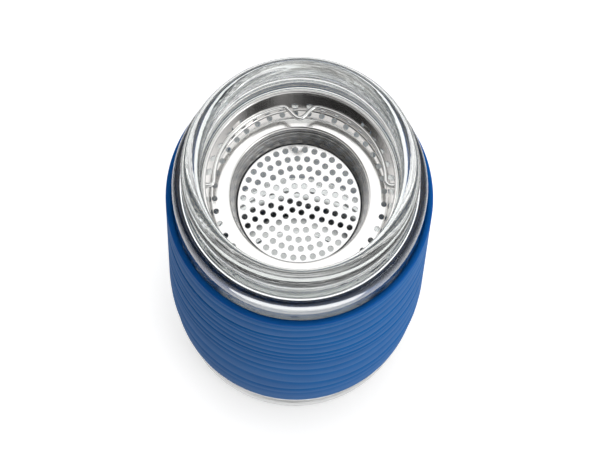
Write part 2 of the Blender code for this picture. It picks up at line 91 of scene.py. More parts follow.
THREAD_RISE = 0.55 * MM
THREAD_HALF_WIDTH = 1.45 * MM
THREAD_RUN_IN_TURNS = 0.1
GLASS_COLOUR = (0.975, 0.990, 0.985)
GLASS_IOR = 1.47
RIPPLES_PER_M = 90.0
RIPPLE_STRENGTH = 0.04
RIPPLE_HEIGHT = 1.0 * MM
FLOW_LINES_PER_M = 1100.0
FLOW_LENGTHS_PER_M = 55.0
FLOW_LINES_LOW_Z = 139.0 * MM
FLOW_LINES_HIGH_Z = 142.0 * MM
FLOW_LINE_STRENGTH = 0.07
FLOW_LINE_HEIGHT = 0.25 * MM

# Corners of the glass's cut line as radius, height and bend radius, in millimetres
DRINKING_SIDE = [(0.0, 11.5, 0.0), (31.4, 11.5, 12.5), (31.4, 117.0, 14.0),
                 (28.75, 128.2, 9.0), (28.75, 136.7, 0.25), (29.6, 136.7, 0.25),
                 (29.6, 147.5, 0.0)]
NECK_AND_COLLAR = [(34.685, 148.215, 0.0), (34.2, 147.6, 0.6), (34.2, 140.2, 0.40),
                   (34.90, 139.9, 0.30), (34.90, 138.62, 0.3), (36.30, 138.50, 0.0)]
FOOT_AND_FLOOR = [(36.7, 13.9, 0.0), (36.7, 0.0, 3.0), (22.0, 0.0, 1.5), (20.5, 1.5, 1.0),
                  (2.5, 1.5, 0.3), (2.5, 4.5, 0.3), (34.9, 4.5, 4.0), (34.9, 13.9, 0.0)]
AIR_SIDE_OF_NECK = [(34.9, 138.13, 0.0), (34.0, 138.5, 0.5), (33.0, 138.6, 0.5),
                    (32.4, 139.8, 0.5), (32.4, 141.5, 0.0)]
LINER_OUTSIDE = [(31.1, 141.5, 0.0), (31.1, 136.6, 1.0), (30.25, 135.0, 1.0),
                 (30.25, 128.6, 10.0), (32.9, 117.4, 14.0), (32.9, 10.0, 14.0),
                 (0.0, 10.0, 0.0)]


def arc_line(middle_r, middle_z, radius, first, last, steps):
    """Points on an arc, with angles in degrees from +r towards +z."""
    angles = [math.radians(first + (last - first) * k / steps) for k in range(steps + 1)]
    return [(middle_r + radius * math.cos(a), middle_z + radius * math.sin(a)) for a in angles]


def bent_line(corners):
    """Points of a line through corners of (radius, height, bend radius), in millimetres."""
    places = [Vector(corner[:2]) * MM for corner in corners]
    points = [tuple(places[0])]
    for i in range(1, len(corners) - 1):
        here, bend = places[i], corners[i][2] * MM
        back = (places[i - 1] - here).normalized()
        on = (places[i + 1] - here).normalized()
        half = math.acos(max(-1.0, min(1.0, back.dot(on)))) / 2.0
        middle = here + (back + on).normalized() * bend / math.sin(half)
        first = here + back * bend / math.tan(half) - middle
        last = here + on * bend / math.tan(half) - middle
        sweep = math.copysign(math.pi - 2.0 * half, first.x * last.y - first.y * last.x)
        count = max(2, math.ceil(abs(sweep) / BEND_STEP))
        for k in range(count + 1):
            cos, sin = math.cos(sweep * k / count), math.sin(sweep * k / count)
            points.append((middle.x + first.x * cos - first.y * sin,
                           middle.y + first.x * sin + first.y * cos))
    points.append(tuple(places[-1]))
    return points


def filled_in(line, longest):
    """The line with points added, so that no step is longer than a given length."""
    full = [line[0]]
    for (r0, z0), (r1, z1) in zip(line, line[1:]):
        count = max(1, math.ceil(math.hypot(r1 - r0, z1 - z0) / longest))
        full += [(r0 + (r1 - r0) * k / count, z0 + (z1 - z0) * k / count)
                 for k in range(1, count + 1)]
    return full


def round_piece(name, radius, height, closed):
    """A piece whose rows of points run round the mug's axis, given as two tables.

    Down the outside and round the bottom towards the axis is forwards, which sets which way
    its faces look. A row of no radius closes in one point. The normals are worked out from
    the neighbouring points, because long flat faces would pull ordinary ones aside.
    """
    rows, segments = radius.shape
    angle = FULL_TURN * np.arange(segments) / segments
    points = np.stack([radius * np.cos(angle), radius * np.sin(angle), height], -1)
    after, before = np.roll(points, -1, 0), np.roll(points, 1, 0)
    if not closed:
        after[-1], before[0] = points[-1], points[0]
    sideways = np.roll(points, -1, 1) - np.roll(points, 1, 1)
    normals = np.cross(after - before, sideways)
    on_axis = radius[:, 0] < AXIS_TOLERANCE
    for i in np.flatnonzero(on_axis):
        normals[i] = (0.0, 0.0, 1.0 if i == 0 else -1.0)
    normals /= np.linalg.norm(normals, axis=-1, keepdims=True)

    places, directions, index = [], [], np.zeros((rows, segments), int)
    for i in range(rows):
        index[i] = len(places) if on_axis[i] else len(places) + np.arange(segments)
        count = 1 if on_axis[i] else segments
        places.extend(points[i, :count].tolist())
        directions.extend(normals[i, :count].tolist())
    faces = []
    for i in range(rows if closed else rows - 1):
        upper, lower = index[i].tolist(), index[(i + 1) % rows].tolist()
        for k in range(segments):
            j = (k + 1) % segments
            if on_axis[i]:
                faces.append((upper[k], lower[k], lower[j]))
            elif on_axis[(i + 1) % rows]:
                faces.append((upper[k], lower[k], upper[j]))
            else:
                faces.append((upper[k], lower[k], lower[j], upper[j]))
    mesh = bpy.data.meshes.new(name)
    mesh.from_pydata(places, [], faces)
    mesh.update()
    mesh.shade_smooth()
    mesh.normals_split_custom_set_from_vertices(directions)
    piece = bpy.data.objects.new(name, mesh)
    bpy.context.scene.collection.objects.link(piece)
    return piece


def turned_tables(line, segments):
    """The same line at every angle, as the two tables that round_piece takes."""
    line = np.array(line)
    return np.repeat(line[:, :1], segments, 1), np.repeat(line[:, 1:], segments, 1)


def glass_body_radius(height):
    """The outer wall's radius: straight, and drawn in a little towards the foot."""
    share = np.clip((FOOT_TAPER_HIGH_Z - height) / (FOOT_TAPER_HIGH_Z - FOOT_TAPER_LOW_Z), 0, 1)
    return BODY_R - (BODY_R - FOOT_R) * (0.5 - 0.5 * np.cos(np.pi * share))


def glass_line():
    """The fused glass: drinking side, lip, outside, base, then round the air it encloses."""
    def shoulder(wall, rise, first, last):
        angles = [math.radians(first + (last - first) * k / SHOULDER_STEPS)
                  for k in range(SHOULDER_STEPS + 1)]
        return [(BODY_R - SHOULDER_DRAW_IN * (1.0 - math.sin(a) ** SHOULDER_FULLNESS) - wall,
                 SHOULDER_LOW_Z + rise * math.cos(a) ** SHOULDER_FULLNESS) for a in angles]

    def body(wall, heights):
        return [(float(glass_body_radius(z)) - wall, z) for z in heights]

    straight = [SHOULDER_LOW_Z - (SHOULDER_LOW_Z - FOOT_TAPER_HIGH_Z) * k / BODY_STEPS
                for k in range(1, BODY_STEPS)]
    tapered = [FOOT_TAPER_HIGH_Z - (FOOT_TAPER_HIGH_Z - FOOT_TAPER_LOW_Z) * k / FOOT_TAPER_STEPS
               for k in range(FOOT_TAPER_STEPS + 1)]
    line = bent_line(DRINKING_SIDE)
    line += arc_line(LIP_RING_R, LIP_Z, LIP_TUBE_R,
                     LIP_FIRST_DEGREES, LIP_LAST_DEGREES, LIP_STEPS)
    line += filled_in(bent_line(NECK_AND_COLLAR), NECK_LONGEST_STEP)[1:]
    line += shoulder(0.0, SHOULDER_RISE, SHOULDER_TOP_DEGREES, SHOULDER_FOOT_DEGREES)
    line += body(0.0, straight + tapered)
    line += bent_line(FOOT_AND_FLOOR)
    line += body(BODY_WALL, reversed(straight + tapered))
    line += shoulder(BODY_WALL, SHOULDER_INSIDE_RISE,
                     SHOULDER_FOOT_DEGREES, SHOULDER_INSIDE_TOP_DEGREES)
    line += bent_line(AIR_SIDE_OF_NECK)
    line += arc_line(AIR_TOP_R, AIR_TOP_Z, AIR_TOP_ROUND, 0.0, 180.0, AIR_TOP_STEPS)
    line += bent_line(LINER_OUTSIDE)
    return line


def thread_rise(height, angle):
    """How far the thread stands out of the neck: a right-hand ridge with tapered ends."""
    rise = np.zeros_like(height)
    for whole_turns in (0.0, 1.0):
        turns = (THREAD_START_ANGLE - angle) / FULL_TURN % 1.0 + whole_turns
        off = (height - THREAD_TOP_Z + THREAD_PITCH * turns) / THREAD_HALF_WIDTH
        run_in = np.clip(np.minimum(turns, THREAD_TURNS - turns) / THREAD_RUN_IN_TURNS, 0, 1)
        ridge = np.cos(0.5 * np.pi * np.clip(off, -1, 1)) ** 2
        rise = np.maximum(rise, THREAD_RISE * ridge * run_in ** 2 * (3.0 - 2.0 * run_in))
    return rise


def make_glass():
    """The turned glass, with its neck pushed out where the thread runs."""
    radius, height = turned_tables(glass_line(), GLASS_SEGMENTS)
    angle = FULL_TURN * np.arange(GLASS_SEGMENTS) / GLASS_SEGMENTS
    on_neck = np.abs(radius - NECK_R) < NECK_TOLERANCE
    radius = radius + np.where(on_neck, thread_rise(height, angle), 0.0)
    return round_piece("fused_glass", radius, height, closed=False)


def new_finish(name, colour, roughness):
    """A named material with its shader's colour and roughness set, and that shader."""
    material = bpy.data.materials.new(name)
    material.use_nodes = True
    shader = material.node_tree.nodes["Principled BSDF"]
    shader.inputs["Base Color"].default_value = (*colour, 1.0)
    shader.inputs["Roughness"].default_value = roughness
    return material, shader


def add_node(owner, kind, links=(), **values):
    """A node whose inputs are set by name or joined to another node's output."""
    tree = owner.node_tree
    node = tree.nodes.new(kind)
    for name, value in values.items():
        setattr(node, name, value)
    for socket, source in dict(links).items():
        if isinstance(source, bpy.types.NodeSocket):
            tree.links.new(source, node.inputs[socket])
        else:
            node.inputs[socket].default_value = source
    return node


def feed(shader, socket, output):
    """Join another node's output to one of a shader's inputs."""
    shader.id_data.links.new(output, shader.inputs[socket])


def dress(piece, material):
    """Give a piece one material in place of any that it has."""
    piece.data.materials.clear()
    piece.data.materials.append(material)


glass_finish, glass_shader = new_finish("blown_clear_glass", GLASS_COLOUR, 0.0)
glass_shader.inputs["Transmission Weight"].default_value = 1.0
glass_shader.inputs["IOR"].default_value = GLASS_IOR
glass_place = add_node(glass_finish, "ShaderNodeTexCoord")
glass_wave = add_node(glass_finish, "ShaderNodeTexNoise", {
    "Vector": glass_place.outputs["Object"], "Scale": RIPPLES_PER_M, "Detail": 1.0,
    "Roughness": 0.4})
glass_ripple = add_node(glass_finish, "ShaderNodeBump", {
    "Height": glass_wave.outputs["Fac"], "Strength": RIPPLE_STRENGTH,
    "Distance": RIPPLE_HEIGHT})
glass_apart = add_node(glass_finish, "ShaderNodeSeparateXYZ", {
    "Vector": glass_place.outputs["Object"]})
glass_across = add_node(glass_finish, "ShaderNodeCombineXYZ", {
    "X": glass_apart.outputs["X"], "Y": glass_apart.outputs["Y"]})
glass_reach = add_node(glass_finish, "ShaderNodeVectorMath", {
    "Vector": glass_across.outputs["Vector"]}, operation="LENGTH")
glass_fine_reach = add_node(glass_finish, "ShaderNodeMath", {
    0: glass_reach.outputs["Value"], 1: FLOW_LINES_PER_M}, operation="MULTIPLY")
glass_stretch = add_node(glass_finish, "ShaderNodeVectorMath", {
    0: glass_place.outputs["Object"],
    1: (FLOW_LENGTHS_PER_M, FLOW_LENGTHS_PER_M, FLOW_LINES_PER_M)}, operation="MULTIPLY")
glass_flow = add_node(glass_finish, "ShaderNodeTexNoise", {
    "Vector": glass_stretch.outputs["Vector"], "W": glass_fine_reach.outputs["Value"],
    "Scale": 1.0, "Detail": 2.0, "Roughness": 0.5}, noise_dimensions="4D")
glass_on_neck = add_node(glass_finish, "ShaderNodeMapRange", {
    "Value": glass_apart.outputs["Z"], "From Min": FLOW_LINES_LOW_Z,
    "From Max": FLOW_LINES_HIGH_Z, "To Min": 0.0, "To Max": FLOW_LINE_STRENGTH})
glass_lines = add_node(glass_finish, "ShaderNodeBump", {
    "Height": glass_flow.outputs["Fac"], "Strength": glass_on_neck.outputs["Result"],
    "Distance": FLOW_LINE_HEIGHT, "Normal": glass_ripple.outputs["Normal"]})
feed(glass_shader, "Normal", glass_lines.outputs["Normal"])

glass = make_glass()
dress(glass, glass_finish)
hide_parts("outer_glass_wall", "inner_glass_wall")
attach(glass, "mug")


# Vent plug: a soft clear silicone stopper pressed into the hole in the base after the air
# between the walls has been let out. It is moulded with a thin flange, which stays outside.
PLUG_COLOUR = (0.80, 0.82, 0.82)
PLUG_ROUGHNESS = 0.45
PLUG_CLEARNESS = 0.35
PLUG_GRAINS_PER_M = 900.0
PLUG_GRAIN_STRENGTH = 0.25
PLUG_GRAIN_HEIGHT = 0.05 * MM

plug_finish, plug_shader = new_finish("clear_plug_silicone", PLUG_COLOUR, PLUG_ROUGHNESS)
plug_shader.inputs["Transmission Weight"].default_value = PLUG_CLEARNESS
plug_place = add_node(plug_finish, "ShaderNodeTexCoord")
plug_grain = add_node(plug_finish, "ShaderNodeTexNoise", {
    "Vector": plug_place.outputs["Object"], "Scale": PLUG_GRAINS_PER_M, "Detail": 3.0})
plug_bump = add_node(plug_finish, "ShaderNodeBump", {
    "Height": plug_grain.outputs["Fac"], "Strength": PLUG_GRAIN_STRENGTH,
    "Distance": PLUG_GRAIN_HEIGHT})
feed(plug_shader, "Normal", plug_bump.outputs["Normal"])
dress(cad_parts["vent_plug"], plug_finish)


# Sleeve: a matte blue silicone tube, moulded with uneven wavy ribs and stretched over the
# glass from just above the foot to just under the shoulder. Only its stretch holds it, and
# its upper edge is a deeper blue than the rest, partly its own tone and partly painted shade.
SLEEVE_SEGMENTS = 360
SLEEVE_ROWS_PER_BAND = 14
SLEEVE_LOW_Z = 19.5 * MM
SLEEVE_HIGH_Z = 124.0 * MM
SLEEVE_OUT = 1.85 * MM
SLEEVE_PRESS = -0.03 * MM
SLEEVE_EDGE_ROUND = 0.8 * MM
SLEEVE_EDGE_STEPS = 8
SLEEVE_INSIDE_ROWS = 40
SLEEVE_INSIDE_MARGIN = 1.0 * MM
GROOVE_EDGE = 0.9 * MM
GROOVE_DEPTH = 0.52 * MM
CREST_POWER = 2.8
SLEEVE_COLOUR = (0.008, 0.134, 0.415)
SLEEVE_DEEP_COLOUR = (0.008, 0.127, 0.400, 1.0)
SLEEVE_PALE_COLOUR = (0.009, 0.140, 0.432, 1.0)
SLEEVE_EDGE_DEEP_AND_SHADED_COLOUR = (0.002, 0.100, 0.385, 1.0)
SLEEVE_EDGE_LOW_Z = 121.6 * MM
SLEEVE_EDGE_HIGH_Z = 122.8 * MM
SLEEVE_ROUGHNESS = 0.70
SLEEVE_GLOSS = 0.10
SLEEVE_SHEEN = 0.10
SLEEVE_SHEEN_ROUGHNESS = 0.45
SLEEVE_CLOUDS_PER_M = 70.0
SLEEVE_CLOUD_LOW = 0.35
SLEEVE_CLOUD_HIGH = 0.65
SLEEVE_GRAINS_PER_M = 2600.0
SLEEVE_GRAIN_STRENGTH = 0.35
SLEEVE_GRAIN_HEIGHT = 0.03 * MM

# One row for each band between two grooves, from the top: its mean share of the height, how
# far that share swings, how many times round the mug, and the swing's turn in degrees
BAND_SHARES = [
    (0.022, 0.30, 1, 200.0), (0.052, 0.35, 1, 180.0), (0.066, 0.40, 1, 150.0),
    (0.068, 0.85, 1, -30.0), (0.058, 0.35, 2, 0.0), (0.048, 0.65, 1, 180.0),
    (0.072, 0.35, 1, -10.0), (0.046, 0.30, 2, 215.0), (0.050, 0.80, 1, -15.0),
    (0.062, 0.75, 1, 200.0), (0.062, 0.35, 2, 60.0), (0.056, 0.50, 1, 25.0),
    (0.086, 0.25, 1, 120.0), (0.074, 0.45, 2, 150.0), (0.088, 0.30, 1, 250.0),
    (0.090, 0.35, 1, 75.0)]


def make_sleeve():
    """A closed tube with rounded edges and, outside, one rib between each two grooves."""
    angle = FULL_TURN * np.arange(SLEEVE_SEGMENTS) / SLEEVE_SEGMENTS
    front = angle + math.pi / 2.0
    widths = np.array([mean * (1.0 + swing * np.sin(times * front + math.radians(turn)))
                       for mean, swing, times, turn in BAND_SHARES])
    top = SLEEVE_HIGH_Z - GROOVE_EDGE
    span = top - SLEEVE_LOW_Z - GROOVE_EDGE
    used = np.vstack([0.0 * angle, np.cumsum(widths, 0) / widths.sum(0)])
    grooves = top - span * used

    rows = []
    for band in range(len(BAND_SHARES)):
        for k in range(SLEEVE_ROWS_PER_BAND):
            share = k / SLEEVE_ROWS_PER_BAND
            height = grooves[band] + (grooves[band + 1] - grooves[band]) * share
            dip = GROOVE_DEPTH * abs(2.0 * share - 1.0) ** CREST_POWER
            if band == 0 and share < 0.5:
                dip = 0.0
            if band == len(BAND_SHARES) - 1 and share > 0.5:
                dip = 0.0
            rows.append((glass_body_radius(height) + SLEEVE_OUT - dip, height))
    rows.append((glass_body_radius(grooves[-1]) + SLEEVE_OUT, grooves[-1]))

    def edge(at_z, sign, outer):
        ring = []
        for k in range(SLEEVE_EDGE_STEPS + 1):
            turn = 0.5 * math.pi * k / SLEEVE_EDGE_STEPS
            push = SLEEVE_EDGE_ROUND * (1.0 - math.cos(turn))
            drop = SLEEVE_EDGE_ROUND * (1.0 - math.sin(turn))
            height = np.full_like(angle, at_z - sign * drop)
            base = glass_body_radius(height)
            if outer:
                ring.append((base + SLEEVE_OUT - push, height))
            else:
                ring.append((base + SLEEVE_PRESS + push, height))
        return ring

    top_outer = list(reversed(edge(SLEEVE_HIGH_Z, 1.0, True)))
    low_outer = edge(SLEEVE_LOW_Z, -1.0, True)
    low_inner = list(reversed(edge(SLEEVE_LOW_Z, -1.0, False)))
    top_inner = edge(SLEEVE_HIGH_Z, 1.0, False)
    inside = []
    inside_low = SLEEVE_LOW_Z + SLEEVE_INSIDE_MARGIN
    inside_rise = SLEEVE_HIGH_Z - SLEEVE_LOW_Z - 2.0 * SLEEVE_INSIDE_MARGIN
    for k in range(1, SLEEVE_INSIDE_ROWS):
        height = np.full_like(angle, inside_low + inside_rise * k / SLEEVE_INSIDE_ROWS)
        inside.append((glass_body_radius(height) + SLEEVE_PRESS, height))
    full = top_outer + rows + low_outer + low_inner + inside + top_inner
    radius = np.array([row[0] for row in full])
    height = np.array([row[1] for row in full])
    return round_piece("ribbed_sleeve", radius, height, closed=True)


sleeve_finish, sleeve_shader = new_finish("matte_blue_silicone", SLEEVE_COLOUR, SLEEVE_ROUGHNESS)
sleeve_shader.inputs["Specular IOR Level"].default_value = SLEEVE_GLOSS
sleeve_shader.inputs["Sheen Weight"].default_value = SLEEVE_SHEEN
sleeve_shader.inputs["Sheen Roughness"].default_value = SLEEVE_SHEEN_ROUGHNESS
sleeve_place = add_node(sleeve_finish, "ShaderNodeTexCoord")
sleeve_cloud = add_node(sleeve_finish, "ShaderNodeTexNoise", {
    "Vector": sleeve_place.outputs["Object"], "Scale": SLEEVE_CLOUDS_PER_M, "Detail": 3.0})
sleeve_grain = add_node(sleeve_finish, "ShaderNodeTexNoise", {
    "Vector": sleeve_place.outputs["Object"], "Scale": SLEEVE_GRAINS_PER_M, "Detail": 3.0})
sleeve_colours = add_node(sleeve_finish, "ShaderNodeValToRGB", {
    "Fac": sleeve_cloud.outputs["Fac"]})
deep_stop, pale_stop = sleeve_colours.color_ramp.elements
deep_stop.position = SLEEVE_CLOUD_LOW
deep_stop.color = SLEEVE_DEEP_COLOUR
pale_stop.position = SLEEVE_CLOUD_HIGH
pale_stop.color = SLEEVE_PALE_COLOUR
sleeve_bump = add_node(sleeve_finish, "ShaderNodeBump", {
    "Height": sleeve_grain.outputs["Fac"], "Strength": SLEEVE_GRAIN_STRENGTH,
    "Distance": SLEEVE_GRAIN_HEIGHT})
sleeve_apart = add_node(sleeve_finish, "ShaderNodeSeparateXYZ", {
    "Vector": sleeve_place.outputs["Object"]})
# The upper edge's colour is darkened: partly the silicone's deeper blue, partly painted shade
on_edge = add_node(sleeve_finish, "ShaderNodeMapRange", {
    "Value": sleeve_apart.outputs["Z"], "From Min": SLEEVE_EDGE_LOW_Z,
    "From Max": SLEEVE_EDGE_HIGH_Z, "To Min": 0.0, "To Max": 1.0})
edge_deep_and_shaded_tone = add_node(sleeve_finish, "ShaderNodeMix", {
    0: on_edge.outputs["Result"], 6: sleeve_colours.outputs["Color"],
    7: SLEEVE_EDGE_DEEP_AND_SHADED_COLOUR}, data_type="RGBA")
edge_sheen = add_node(sleeve_finish, "ShaderNodeMapRange", {
    "Value": on_edge.outputs["Result"], "To Min": SLEEVE_SHEEN, "To Max": 0.0})
feed(sleeve_shader, "Base Color", edge_deep_and_shaded_tone.outputs[2])
feed(sleeve_shader, "Sheen Weight", edge_sheen.outputs["Result"])
feed(sleeve_shader, "Normal", sleeve_bump.outputs["Normal"])

sleeve = make_sleeve()
dress(sleeve, sleeve_finish)
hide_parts("silicone_sleeve")
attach(sleeve, "mug")


# Infuser basket: pressed from one 0.5 mm sheet of stainless steel, with a rolled rim, a
# drafted wall, a flat shoulder with a ring of drain holes, and a well with a ledge for the
# disc. Four tabs lanced in the wall grip the glass. It is polished, with faint turned lines.
BASKET_SEGMENTS = 240
SHEET = 0.5 * MM
SHEET_LONGEST_STEP = 1.0 * MM
SHARP_EDGE = math.radians(38.0)
BASKET_SHOULDER_Z = 124.9 * MM
DRAIN_HOLES = 40
DRAIN_RING_R = 25.35 * MM
DRAIN_HOLE_R = 0.875 * MM
DRAIN_TURN = math.radians(2.6)
DRAIN_CUT_LENGTH = 3.0 * MM
CUTTER_SIDES = 24
TAB_COUNT = 4
TAB_TURN = math.radians(43.3)
TAB_WIDTH = 4.1 * MM
TAB_HEIGHT = 4.2 * MM
TAB_SLOT = 0.7 * MM
TAB_CUT_DEPTH = 1.5 * MM
TAB_FOOT_Z = 128.8 * MM
TAB_LEAN = 0.65 * MM
TAB_TOLERANCE = 0.01
WALL_FOOT_R = 26.6 * MM
WALL_DRAFT = 1.3 * MM
BAIL_PIVOT_Z = 135.5 * MM
BAIL_HOLE_R = 0.95 * MM
BAIL_CUT_LENGTH = 64.0 * MM
LEDGE_POINTS = 3
RIM_JOIN_Z = 136.0 * MM
STEEL_RINGS_PER_M = 2200.0
STEEL_RING_HEIGHT = 0.02 * MM
STEEL_CLOUDS_PER_M = 160.0
STEEL_CLOUD_HEIGHT = 0.3 * MM
STEEL_CLOUD_LOW = 0.3
STEEL_CLOUD_HIGH = 0.7
STEEL_SMOOTH_SHARE = 0.8
STEEL_ROUGH_SHARE = 1.3
BASKET_COLOUR = (0.83, 0.82, 0.81)
BASKET_ROUGHNESS = 0.10
BASKET_RING_STRENGTH = 0.35
BASKET_CLOUD_STRENGTH = 0.03
BASKET_ANISOTROPY = 0.9
WELL_LOW_Z = 124.2 * MM
WELL_HIGH_Z = 124.7 * MM
WELL_ROUGHNESS = 0.12
DRAW_LINES_PER_M = 1300.0
DRAW_LINE_HEIGHT = 0.20 * MM
DRAW_LINE_LOW = 0.35
DRAW_LINE_HIGH = 0.65
WELL_BAND_DARK = 0.45
WELL_BAND_LIGHT = 1.18
WALL_STREAK_LOW_Z = 125.5 * MM
WALL_STREAK_HIGH_Z = 127.0 * MM
WALL_STREAKS_PER_M = 420.0
WALL_STREAK_HEIGHT = 0.08 * MM

# Corners of the sheet's upper side from the disc's ledge to the rim, of the rim, and of the
# ledge's underside, in millimetres
BASKET_UPPER_SIDE = [(17.8, 114.2, 0.0), (18.7, 114.2, 0.3), (20.70, 124.9, 0.8),
                     (26.6, 124.9, 0.9), (27.93, 137.3, 0.0)]
BASKET_RIM = [(27.93, 137.3, 0.0), (27.98, 138.1, 0.56), (29.15, 138.1, 0.56),
              (29.15, 137.0, 0.15), (28.45, 137.0, 0.2), (28.38, 136.2, 0.0)]
LEDGE_UNDERSIDE = [(19.2, 113.9), (19.1, 113.7), (17.8, 113.7)]


def sheet_other_side(line, thickness):
    """A sheet's other side: its line moved by the thickness, away from its left side."""
    moved = []
    for i, (radius, height) in enumerate(line):
        before, after = line[max(i - 1, 0)], line[min(i + 1, len(line) - 1)]
        run, rise = after[0] - before[0], after[1] - before[1]
        length = math.hypot(run, rise)
        moved.append((radius + thickness * rise / length, height - thickness * run / length))
    return moved


def basket_line():
    """The whole sheet, cut through: up its upper side, round the rim and down its under side.

    The under side's points below the ledge and inside the rim are left out, because those two
    have corners of their own.
    """
    upper = filled_in(bent_line(BASKET_UPPER_SIDE), SHEET_LONGEST_STEP)
    past_ledge = sheet_other_side(upper, SHEET)[LEDGE_POINTS:]
    under = [point for point in past_ledge if point[1] < RIM_JOIN_Z]
    ledge = [(radius * MM, height * MM) for radius, height in LEDGE_UNDERSIDE]
    return upper + bent_line(BASKET_RIM)[1:-1] + under[::-1] + ledge


def hidden_cutter(name, mesh):
    """A mesh as a piece that only cuts others and is never seen."""
    cutter = bpy.data.objects.new(name, mesh)
    bpy.context.scene.collection.objects.link(cutter)
    cutter.hide_render = True
    return cutter


def round_cutter(name, places, radius, length):
    """Closed cylinders at a list of places, as one hidden cutter."""
    shape = bmesh.new()
    for place in places:
        bmesh.ops.create_cone(shape, cap_ends=True, segments=CUTTER_SIDES, radius1=radius,
                              radius2=radius, depth=length, matrix=place)
    mesh = bpy.data.meshes.new(name)
    shape.to_mesh(mesh)
    shape.free()
    return hidden_cutter(name, mesh)


def tab_slot_cutter():
    """Slots on three sides of each tab, which leave it joined to the wall at its foot."""
    half, slot = TAB_WIDTH / 2.0, TAB_SLOT
    outline = [(-half, 0.0), (-half, TAB_HEIGHT), (half, TAB_HEIGHT), (half, 0.0),
               (half - slot, 0.0), (half - slot, TAB_HEIGHT - slot),
               (slot - half, TAB_HEIGHT - slot), (slot - half, 0.0)]
    middle_r = WALL_FOOT_R + WALL_DRAFT / 2.0
    shape = bmesh.new()
    for i in range(TAB_COUNT):
        turn = Matrix.Rotation(TAB_TURN + FULL_TURN * i / TAB_COUNT, 4, "Z")
        near, far = [[shape.verts.new(turn @ Vector((reach, x, TAB_FOOT_Z + z)))
                      for x, z in outline]
                     for reach in (middle_r - TAB_CUT_DEPTH, middle_r + TAB_CUT_DEPTH)]
        shape.faces.new(near)
        shape.faces.new(list(reversed(far)))
        for k in range(len(outline)):
            j = (k + 1) % len(outline)
            shape.faces.new((near[j], near[k], far[k], far[j]))
    bmesh.ops.recalc_face_normals(shape, faces=shape.faces)
    bmesh.ops.triangulate(shape, faces=shape.faces)
    mesh = bpy.data.meshes.new("tab_slots")
    shape.to_mesh(mesh)
    shape.free()
    return hidden_cutter("tab_slots", mesh)


def cut_and_fixed(piece, cutters):
    """Cut a piece with each cutter, make the result its own mesh and delete the cutters."""
    for cutter in cutters:
        boolean = piece.modifiers.new(cutter.name, "BOOLEAN")
        boolean.operation = "DIFFERENCE"
        boolean.solver = "EXACT"
        boolean.object = cutter
    bpy.context.view_layer.update()
    evaluated = piece.evaluated_get(bpy.context.evaluated_depsgraph_get())
    mesh = bpy.data.meshes.new_from_object(evaluated)
    piece.modifiers.clear()
    piece.data = mesh
    for cutter in cutters:
        bpy.data.objects.remove(cutter, do_unlink=True)


def bend_tabs(piece):
    """Lean the tongue of each tab outwards, and give the numbers of its free points."""
    bent = set()
    for vertex in piece.data.vertices:
        x, y, z = vertex.co
        rise = (z - TAB_FOOT_Z) / (TAB_HEIGHT - TAB_SLOT)
        angle = (math.atan2(y, x) - TAB_TURN) % (FULL_TURN / TAB_COUNT)
        off = min(angle, FULL_TURN / TAB_COUNT - angle) * WALL_FOOT_R
        if 0.0 < rise < 1.0 + TAB_TOLERANCE and off < (TAB_WIDTH - TAB_SLOT) / 2.0:
            vertex.co.xy *= 1.0 + TAB_LEAN * rise / math.hypot(x, y)
            bent.add(vertex.index)
    piece.data.update()
    return bent


def turned_normals(piece, line, bent):
    """Normals taken from the turned line, with flat ones on bent tabs and inside cut holes."""
    line = np.array(line)
    after, before = np.roll(line, -1, 0), np.roll(line, 1, 0)
    along = after - before
    along /= np.linalg.norm(along, axis=1, keepdims=True)
    out, up = -along[:, 1], along[:, 0]
    mesh = piece.data
    places = np.zeros(len(mesh.vertices) * 3)
    mesh.vertices.foreach_get("co", places)
    places = places.reshape(-1, 3)
    radius = np.hypot(places[:, 0], places[:, 1])
    step = after - line
    reach = (step ** 2).sum(1)
    normals = np.zeros_like(places)
    for v in range(len(places)):
        off_r, off_z = radius[v] - line[:, 0], places[v, 2] - line[:, 1]
        share = np.clip((off_r * step[:, 0] + off_z * step[:, 1]) / reach, 0.0, 1.0)
        gap = (off_r - share * step[:, 0]) ** 2 + (off_z - share * step[:, 1]) ** 2
        i = int(np.argmin(gap))
        j, s = (i + 1) % len(line), share[i]
        n_r, n_z = out[i] * (1 - s) + out[j] * s, up[i] * (1 - s) + up[j] * s
        normals[v] = (n_r * places[v, 0] / radius[v], n_r * places[v, 1] / radius[v], n_z)
    normals /= np.linalg.norm(normals, axis=1, keepdims=True)
    split = []
    for polygon in mesh.polygons:
        flat = np.array(polygon.normal)
        on_tab = bent.intersection(polygon.vertices)
        for v in polygon.vertices:
            turned = normals[v] @ flat > math.cos(SHARP_EDGE) and not on_tab
            split.append(normals[v] if turned else flat)
    mesh.shade_smooth()
    mesh.normals_split_custom_set([tuple(n) for n in split])


def make_basket():
    """The turned sheet, cut for the drains, the bail's ends and the tabs, which are bent."""
    line = basket_line()
    radius, height = turned_tables(line, BASKET_SEGMENTS)
    basket = round_piece("pressed_basket", radius, height, closed=True)
    drains = []
    for i in range(DRAIN_HOLES):
        angle = DRAIN_TURN + FULL_TURN * i / DRAIN_HOLES
        drains.append(Matrix.Translation((DRAIN_RING_R * math.cos(angle),
                                          DRAIN_RING_R * math.sin(angle), BASKET_SHOULDER_Z)))
    across = Matrix.Translation((0.0, 0.0, BAIL_PIVOT_Z)) @ Matrix.Rotation(math.pi / 2, 4, "Y")
    cut_and_fixed(basket, [
        round_cutter("drains", drains, DRAIN_HOLE_R, DRAIN_CUT_LENGTH),
        round_cutter("bail_holes", [across], BAIL_HOLE_R, BAIL_CUT_LENGTH),
        tab_slot_cutter()])
    turned_normals(basket, line, bend_tabs(basket))
    return basket


